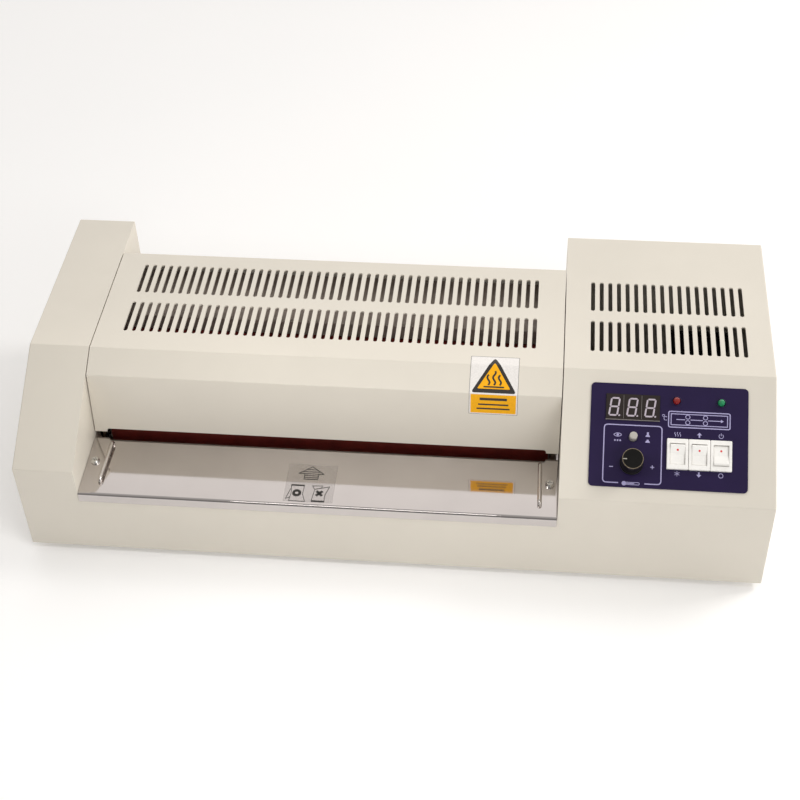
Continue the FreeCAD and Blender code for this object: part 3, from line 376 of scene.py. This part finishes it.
# The panel's axes start at the low end of the slope, at the right box's left wall. They run to the right (u),
# up the slope (v) and out of it (w).
BOX_LEFT, FRONT, FRONT_EDGE = 118.7, -115.0, 83.0
SLOPE = math.atan(47 / 81)
PANEL = (
    Matrix.Translation(Vector((BOX_LEFT, FRONT, FRONT_EDGE)) * MM)
    @ Matrix.Rotation(SLOPE, 4, "X")
    @ Matrix.Scale(MM, 4)
)
FILM_FACE = 0.8  # w of the panel film's face


def on_plane(plane, level):
    return lambda u, v, w: plane @ Vector((u, v, w + level))


# ---------------------------------------------------------------- control panel print
def panel_print():
    """The frame around the knob, open at the thermometer, the plate, and all the marks."""
    low, gap_start, gap_end, line = 13.1, 39.8, 57.6, 0.75
    box = round_corners(bar(29.2, low, 68.6, 54.1), 2.6)
    around = box[CORNER_STEPS::-1] + box[:CORNER_STEPS:-1]
    marks = stroke([(gap_start, low)] + around + [(gap_end, low)], line)
    x0, y0, x1, y1 = 72.9, 54.2, 114.6, 65.4
    inset = 1.7
    marks += outline(round_corners(bar(x0, y0, x1, y1), 1.3), line)
    marks += outline(bar(x0 + inset, y0 + inset, x1 - inset, y1 - inset), 0.6)
    marks += film_and_rollers((x0 + x1) / 2, (y0 + y1) / 2)
    marks += thermometer(48.9, 12.9)
    marks += dial_marks()
    marks += button_marks()
    marks += switch_marks()
    thin_piece("panel_print", marks, on_plane(PANEL, FILM_FACE), LILAC_INK, 0.04)


def film_and_rollers(x, y):
    """A film that passes between two pairs of rollers, with an arrow at its end."""
    half, tip = 0.3, 14.6
    marks = []
    for left, right in ((-15.6, -9.6), (-6.0, 2.4), (6.0, tip)):
        marks.append(bar(x + left, y - half, x + right, y + half))
    for centre in (-7.8, 4.2):
        for side in (-1, 1):
            marks += outline(disc(x + centre, y + side * 1.95, 1.45, 24), 0.5)
    marks.append([(x + tip, y - 1.2), (x + tip + 2.0, y), (x + tip, y + 1.2)])
    return marks


def thermometer(x, y):
    """A lying thermometer under the dial."""
    tube = round_corners(bar(x - 4.4, y - 0.8, x + 5.2, y + 0.8), 0.79, 4)
    marks = outline(tube, 0.4)
    marks.append(disc(x - 5.2, y, 1.55))
    marks.append(bar(x - 4.0, y - 0.28, x + 1.8, y + 0.28))
    return marks


def dial_marks():
    """A minus and a plus at the dial's ends, and the degrees sign beside the digits."""
    minus_x, minus_y, plus_x, plus_y = 34.7, 24.2, 62.6, 25.0
    arm, half = 1.3, 0.3
    marks = [
        bar(minus_x - arm, minus_y - half, minus_x + arm, minus_y + half),
        bar(plus_x - arm, plus_y - half, plus_x + arm, plus_y + half),
        bar(plus_x - half, plus_y + half, plus_x + half, plus_y + arm),
        bar(plus_x - half, plus_y - arm, plus_x + half, plus_y - half),
    ]
    marks += outline(disc(69.4, 62.2, 0.75, 16), 0.35)
    marks += stroke(arc(71.0, 60.2, 1.3, 50, 310), 0.4)
    return marks


def button_marks():
    """An eye over three dots beside the button, and the button out and in on its other side."""
    eye_x, eye_y, lid_drop, lid_radius, lid_line = 38.5, 47.0, 2.4, 3.6, 0.45
    marks = stroke(arc(eye_x, eye_y - lid_drop, lid_radius, 42, 138), lid_line)
    marks += stroke(arc(eye_x, eye_y + lid_drop, lid_radius, 222, 318), lid_line)
    marks.append(disc(eye_x, eye_y, 0.85, 16))
    for i in range(3):
        marks.append(bar(36.2 + i * 1.8, 42.4, 37.2 + i * 1.8, 43.6))
    for base, top in ((46.3, 49.6), (42.2, 44.3)):
        collar = base + 1.2
        marks.append([
            (57.4, base), (60.6, base), (60.2, collar), (59.7, collar),
            (59.7, top), (58.3, top), (58.3, collar), (57.8, collar),
        ])
    return marks


SWITCH_MIDDLES = [79.3 + i * 14.73 for i in range(3)]


def switch_marks():
    """Pictograms over and under the switches: heat and cold, forward and back, on and off."""
    heat, way, power = SWITCH_MIDDLES
    top, low, line = 49.2, 21.4, 0.42
    marks = []
    for i in (-1, 0, 1):
        wave = [(heat + i * 1.7 + 0.45 * math.sin(k * 1.05), top - 1.5 + k * 0.5) for k in range(7)]
        marks += stroke(wave, line)
    for k in range(3):
        a = math.radians(60 * k + 30)
        reach = Vector((math.cos(a), math.sin(a))) * 1.9
        marks += stroke([(heat - reach.x, low - reach.y), (heat + reach.x, low + reach.y)], 0.36)
    for y, sign in ((top, 1), (low, -1)):
        tail = y - 1.7 * sign
        marks.append([(way - 1.7, y), (way + 1.7, y), (way, y + 1.9 * sign)][::sign])
        marks.append(bar(way - 0.5, min(y, tail), way + 0.5, max(y, tail)))
    marks += stroke(arc(power, top, 1.5, 125, 415), line)
    marks.append(bar(power - line / 2, top + 0.2, power + line / 2, top + 2.1))
    marks += outline(disc(power, low, 1.5, 24), line)
    return marks


# ---------------------------------------------------------------- digits
DIGIT_LEFT, DIGIT_LOW, DIGIT_PITCH = 30.0, 58.0, 12.3
DIGIT_FACE = 1.6  # w of the digit modules' faces


def segments(x, y):
    """The seven bars of a digit, with pointed ends, leaning to the right, and the point after it."""
    wide, tall, thick, gap, slant = 6.7, 13.4, 1.15, 0.16, 0.14
    half, mid = thick / 2, tall / 2

    def lying(cy):
        return [
            (half + gap, cy), (thick + gap, cy + half), (wide - thick - gap, cy + half),
            (wide - half - gap, cy), (wide - thick - gap, cy - half), (thick + gap, cy - half),
        ]

    def standing(cx, low, high):
        return [
            (cx, low + gap), (cx + half, low + half + gap), (cx + half, high - half - gap),
            (cx, high - gap), (cx - half, high - half - gap), (cx - half, low + half + gap),
        ]

    shapes = [lying(half), lying(mid), lying(tall - half)]
    for cx in (half, wide - half):
        shapes.append(standing(cx, half, mid))
        shapes.append(standing(cx, mid, tall - half))
    shapes.append(disc(wide + 0.95, half, 0.62, 16))
    return [[(x + px + slant * py, y + py) for px, py in shape] for shape in shapes]


def digits():
    bars = []
    for i in range(3):
        bars += segments(DIGIT_LEFT + i * DIGIT_PITCH + 1.35, DIGIT_LOW + 2.1)
    # Pale lines on the digit faces just left of each module seam: painted highlights along the seams.
    seam_highlights = []
    for i in (1, 2):
        right = DIGIT_LEFT + i * DIGIT_PITCH
        seam_highlights.append(bar(right - 0.45, DIGIT_LOW + 0.6, right - 0.2, DIGIT_LOW + 17.3))
    edge = bar(DIGIT_LEFT - 0.2, DIGIT_LOW - 0.55, DIGIT_LEFT + 3 * DIGIT_PITCH, DIGIT_LOW - 0.06)
    face = on_plane(PANEL, DIGIT_FACE)
    thin_piece("digit_segments", bars, face, SEGMENT_INK, 0.03)
    thin_piece("digit_seam_highlights", seam_highlights, face, EDGE_GREY_AND_SEAM_HIGHLIGHT, 0.03)
    thin_piece("digit_lower_edge", [edge], on_plane(PANEL, FILM_FACE), EDGE_GREY_AND_SEAM_HIGHLIGHT, 0.75)


# ---------------------------------------------------------------- switches, knob, lamps and springs
def red_dots():
    """The dot on each rocker, in the plane of the half that it is printed on."""
    tilts = {"heat_switch": 11, "direction_switch": 11, "power_switch": -11}
    switch_v, pivot_w, valley_height = 34.9, 0.6, 1.5
    half_slope = math.atan(1.1 / 6.77)
    dot = disc(0, 3.2, 0.75, 20)
    for (body, tilt), middle in zip(tilts.items(), SWITCH_MIDDLES):
        pivot = PANEL @ Matrix.Translation((middle, switch_v, pivot_w))
        rocker = pivot @ Matrix.Rotation(math.radians(tilt), 4, "X")
        half = rocker @ Matrix.Translation((0, 0, valley_height)) @ Matrix.Rotation(half_slope, 4, "X")
        thin_piece(
            "red_dot_" + body, [dot], on_plane(half, 0.005), RED_INK, 0.03, body=body,
        )


def knob_pointer():
    knob_u, knob_v, knob_top = 48.4, 26.8, 15.4
    mark = round_corners(bar(knob_u - 6.6, knob_v - 0.65, knob_u - 3.9, knob_v), 0.3, 3)
    thin_piece(
        "knob_pointer", [mark], on_plane(PANEL, knob_top), WHITE_INK, 0.05, body="knob",
    )


def lamp_rims():
    """The raised ring of the film around each lamp, from its section as (radius, w)."""
    section = ((2.7, 0.8), (3.55, 0.8), (3.5, 1.15), (3.1, 1.35), (2.7, 1.2), (2.7, 0.8))
    lamp_v = 72.9
    for name, lamp_u in (("red_lamp_rim", 78.1), ("green_lamp_rim", 108.6)):
        bm = bmesh.new()
        rings = []
        for radius, w in section:
            circle = disc(lamp_u, lamp_v, radius, 40)
            rings.append([bm.verts.new(PANEL @ Vector((x, y, w))) for x, y in circle])
        join_rings(bm, rings)
        rim = mesh_object(name, bm, LOOKS["panel_film"], smooth=True)
        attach(rim, "chassis")


def nip_springs(pair):
    """The two coils over a nip's bearing blocks, built at one fixed length, though the real ones shorten as
    its upper roller rises.
    """
    wire, radius, turns, steps = 0.5 * MM, 3.4 * MM, 4, 24
    node_name = pair + "_springs"
    low, high = (Vector(corner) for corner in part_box(node_name))
    reach = radius + wire
    rise = high.z - low.z - 2 * wire
    bm = bmesh.new()
    for x in (low.x + reach, high.x - reach):
        rings = []
        for k in range(turns * steps + 1):
            a = TAU * k / steps
            outward = Vector((math.cos(a), math.sin(a), 0))
            axis_point = Vector((x, (low.y + high.y) / 2, low.z + wire + rise * k / (turns * steps)))
            middle = axis_point + outward * radius
            rings.append([
                bm.verts.new(middle + outward * px + Vector((0, 0, pz))) for px, pz in disc(0, 0, wire, 10)
            ])
        join_rings(bm, rings)
        bm.faces.new(rings[0][::-1])
        bm.faces.new(rings[-1])
    coils = mesh_object(pair + "_coils", bm, LOOKS["spring_steel"], smooth=True)
    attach(coils, "chassis")
    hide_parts(node_name)
    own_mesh(coils)


# ---------------------------------------------------------------- label over the cover's bends
SKIN = 1.2  # from the cover's line to its painted face
COVER_LINE = [(-58.0, 69.2), (-51.6, 118.399), (-34.022, 128.6), (74.3, 128.6)]
BEND_STEPS = 6


def cover_profile():
    """The middle cover's outer face from its lip to its top, with its rounded bends, as (y, z) points."""
    normals = []
    for (y0, z0), (y1, z1) in zip(COVER_LINE, COVER_LINE[1:]):
        way = Vector((y1 - y0, z1 - z0)).normalized()
        normals.append(Vector((-way.y, way.x)))
    points = [Vector(COVER_LINE[0]) + normals[0] * SKIN]
    for corner, before, after in zip(COVER_LINE[1:-1], normals, normals[1:]):
        for k in range(BEND_STEPS + 1):
            points.append(Vector(corner) + before.lerp(after, k / BEND_STEPS).normalized() * SKIN)
    points.append(Vector(COVER_LINE[-1]) + normals[-1] * SKIN)
    return points


PROFILE = cover_profile()
KNEE = 1 + BEND_STEPS // 2  # the middle of the lower bend
RUN = [0.0]
for p, q in zip(PROFILE, PROFILE[1:]):
    RUN.append(RUN[-1] + (q - p).length)
RUN = [r - RUN[KNEE] for r in RUN]


def over_cover(level):
    """Wraps (x, distance up from the knee) over the cover's bends, level above its paint."""

    def place(x, s, w):
        i = max(k for k in range(len(RUN) - 1) if RUN[k] <= s or k == 0)
        f = (s - RUN[i]) / (RUN[i + 1] - RUN[i])
        at = PROFILE[i].lerp(PROFILE[i + 1], f)
        way = (PROFILE[i + 1] - PROFILE[i]).normalized()
        out = Vector((-way.y, way.x)) * (w + level)
        return Vector((x, at.x + out.x, at.y + out.y)) * MM

    return place


def warm_label():
    """A plain label over the cover's front bends: a triangle with rising lines over a strip with bars."""
    x0, x1, low, high = 53.2, 87.6, -17.8, 29.7
    middle = (x0 + x1) / 2
    bends = [r for r in RUN if -30 < r < 40]

    def layer(name, polygons, level, material, thickness=0.02):
        thin_piece(
            name, polygons, over_cover(level), material, thickness, cuts=bends,
        )

    first, second, third = 0.06, 0.08, 0.10
    layer("label_backing", [bar(x0, low, x1, high)], 0.0, LABEL_WHITE, thickness=first)
    rim = 0.25
    edge = outline(bar(x0 + rim, low + rim, x1 - rim, high - rim), 0.35)
    layer("label_edge", edge, first, EDGE_GREY_AND_SEAM_HIGHLIGHT)
    outer = round_corners([(x0 + 1.3, 0.6), (x1 - 1.3, 0.6), (middle, 28.4)], 2.6, 6)
    layer("label_triangle", [outer], first, BLACK_INK)
    inner = round_corners([(x0 + 5.6, 3.6), (x1 - 5.6, 3.6), (middle, 23.2)], 1.0, 4)
    layer("label_field", [inner], second, YELLOW_INK)
    lines = []
    for i in (-1, 0, 1):
        wave = [(middle + i * 4.0 + 0.9 * math.sin(k * 0.8), 6.4 + k * 0.95) for k in range(9 if i else 12)]
        lines += stroke(wave, 1.3)
    lines.append(bar(middle - 7.2, 4.5, middle + 7.2, 5.6))
    layer("label_rising_lines", lines, third, BLACK_INK)
    layer("label_strip", [bar(x0 + 1.3, -16.6, x1 - 1.3, -0.6)], first, YELLOW_INK)
    bars = [
        bar(middle - half, y, middle + half, y + tall)
        for half, y, tall in ((9.6, -5.6, 2.2), (10.6, -9.8, 1.3), (11.6, -13.4, 1.3))
    ]
    layer("label_bars", bars, second, BLACK_INK)


# ---------------------------------------------------------------- label on the feed tray
TRAY_EDGE, TRAY_RISE = 62.6, 0.05  # the tray's height at its front edge, and its rise per millimetre


def on_tray(level):
    return lambda x, y, w: Vector((x, FRONT + y, TRAY_EDGE + TRAY_RISE * y + w + level)) * MM


def beside(x, points):
    return [(x + px, py) for px, py in points]


def tray_label():
    """The see-through label: an arrow for the way in, and two pouches, one fed right, one askew."""
    film = round_corners(bar(-74, 2.6, -38.6, 37.4), 0.6, 3)
    thin_piece("tray_label_film", [film], on_tray(0.02), TRAY_FILM, 0.05)

    arrow, good, askew = -56.7, -64.8, -49.4
    neck, base = 28.9, 23.8
    pen, thin_pen, fine_pen = 0.5, 0.4, 0.35
    head = [(-4.8, neck), (-9.0, neck), (-0.2, 35.6), (8.8, neck), (5.0, neck)]
    shaft = [(-4.8, neck), (-4.8, base), (5.0, base), (5.0, neck)]
    lines = stroke(beside(arrow, head), pen) + stroke(beside(arrow, shaft), pen)
    for y, half in ((25.4, 4.6), (27.2, 4.6), (neck, 4.8), (30.8, 6.0), (32.8, 3.4)):
        lines.append(bar(arrow - half, y - 0.2, arrow + half, y + 0.2))

    pouch = [(-4.9, 17.8), (-4.1, 10.5), (-5.0, 3.3), (6.4, 3.3), (4.0, 10.0), (4.5, 17.8)]
    lines += stroke(beside(good, pouch), thin_pen)
    lines += stroke(beside(good, [(-5.0, 14.2), (-7.4, 5.2), (-4.3, 6.6)]), fine_pen)
    lines.append(bar(good - 4.9, 17.2, good + 4.5, 18.4))

    back_leaf = [(-4.4, 4.2), (-3.2, 14.8), (-5.4, 17.8), (2.2, 18.2), (1.0, 16.0)]
    lines += stroke(beside(askew, back_leaf), fine_pen)
    lines += stroke(beside(askew, [(-3.2, 14.8), (7.0, 17.6), (4.6, 10.0), (4.6, 4.2)]), thin_pen)
    lines.append(bar(askew - 4.6, 3.3, askew + 4.8, 4.6))

    lines += outline(disc(good - 0.2, 10.7, 2.2, 24), 2.0)
    cross_x, cross_y = askew + 0.4, 11.2
    for turn in (45, 135):
        reach = Vector((math.cos(math.radians(turn)), math.sin(math.radians(turn)))) * 3.0
        ends = [(cross_x - reach.x, cross_y - reach.y), (cross_x + reach.x, cross_y + reach.y)]
        lines += stroke(ends, 1.9)
    thin_piece("tray_label_lines", lines, on_tray(0.08), BLACK_INK, 0.02)


# ---------------------------------------------------------------- floor, world, lights and camera
def pale_floor():
    reach = 6.0
    bm = bmesh.new()
    bm.faces.new([bm.verts.new((x, y, 0)) for x, y in bar(-reach, -reach, reach, reach)])
    look = Look(
        "pale_floor", (0.93, 0.925, 0.92), roughness=0.8,
        Emission_Color=(1, 1, 1, 1), Emission_Strength=0.13,
    )
    look.tint(look.noise(3), low=0.99, high=1.01)
    floor = mesh_object("floor", bm, look.material)


def studio_world():
    """A room that is dark in front of the object, even over it, and bright behind it."""
    world = bpy.data.worlds.new("studio")
    world.use_nodes = True
    nodes, links = world.node_tree.nodes, world.node_tree.links
    split = nodes.new("ShaderNodeSeparateXYZ")
    links.new(nodes.new("ShaderNodeTexCoord").outputs["Generated"], split.inputs[0])
    shift = nodes.new("ShaderNodeMapRange")
    shift.inputs["From Min"].default_value = -1
    links.new(split.outputs["Y"], shift.inputs["Value"])
    ramp = nodes.new("ShaderNodeValToRGB")
    links.new(shift.outputs["Result"], ramp.inputs["Fac"])
    fill_ramp(ramp.color_ramp, [
        (0.0, (0.24, 0.235, 0.23)),
        (0.5, (0.61, 0.60, 0.59)),
        (0.72, (0.61, 0.60, 0.585)),
        (0.84, (1.47, 1.42, 1.38)),
    ])
    links.new(ramp.outputs["Color"], nodes["Background"].inputs["Color"])
    nodes["Background"].inputs["Strength"].default_value = 1.0
    scene.world = world


def soft_light(name, at, aim, size, power, color):
    data = bpy.data.lights.new(name, "AREA")
    data.shape = "RECTANGLE"
    data.size, data.size_y = size
    data.energy = power
    data.color = color
    light = bpy.data.objects.new(name, data)
    light.location = at
    light.rotation_euler = (Vector(aim) - Vector(at)).to_track_quat("-Z", "Y").to_euler()
    light.visible_camera = False
    scene.collection.objects.link(light)


def lights():
    soft_light(
        "key", at=(1.1, 0.35, 1.1), aim=(0.05, 0, 0.05), size=(0.45, 0.45), power=7.0,
        color=(1.0, 0.985, 0.96),
    )
    soft_light(
        "front_fill", at=(0.9, -1.1, 0.8), aim=(0, 0, 0.06), size=(1.2, 0.8), power=6.6,
        color=(1.0, 0.99, 0.98),
    )
    soft_light(
        "feed_light", at=(-0.05, -0.22, 0.35), aim=(-0.05, -0.05, 0.10), size=(0.24, 0.05), power=0.32,
        color=(1.0, 0.98, 0.96),
    )


def camera():
    at = (0.10065, -0.83430, 0.85798)
    forward = Vector((-0.08837775, 0.71925832, -0.68909858))
    up = Vector((-0.04721103, 0.68800345, 0.72417013))
    right = forward.cross(up).normalized()
    up = right.cross(forward).normalized()
    data = bpy.data.cameras.new("camera")
    data.lens = 69.26
    data.sensor_width = 36
    thing = bpy.data.objects.new("camera", data)
    turn = Matrix((right, up, -forward)).transposed()
    thing.matrix_world = Matrix.Translation(at) @ turn.to_4x4()
    scene.collection.objects.link(thing)
    scene.camera = thing


panel_print()
digits()
red_dots()
knob_pointer()
lamp_rims()
nip_springs("front")
nip_springs("rear")
warm_label()
tray_label()
pale_floor()
studio_world()
lights()
camera()
scene.view_settings.view_transform = "Standard"
scene.view_settings.look = "None"
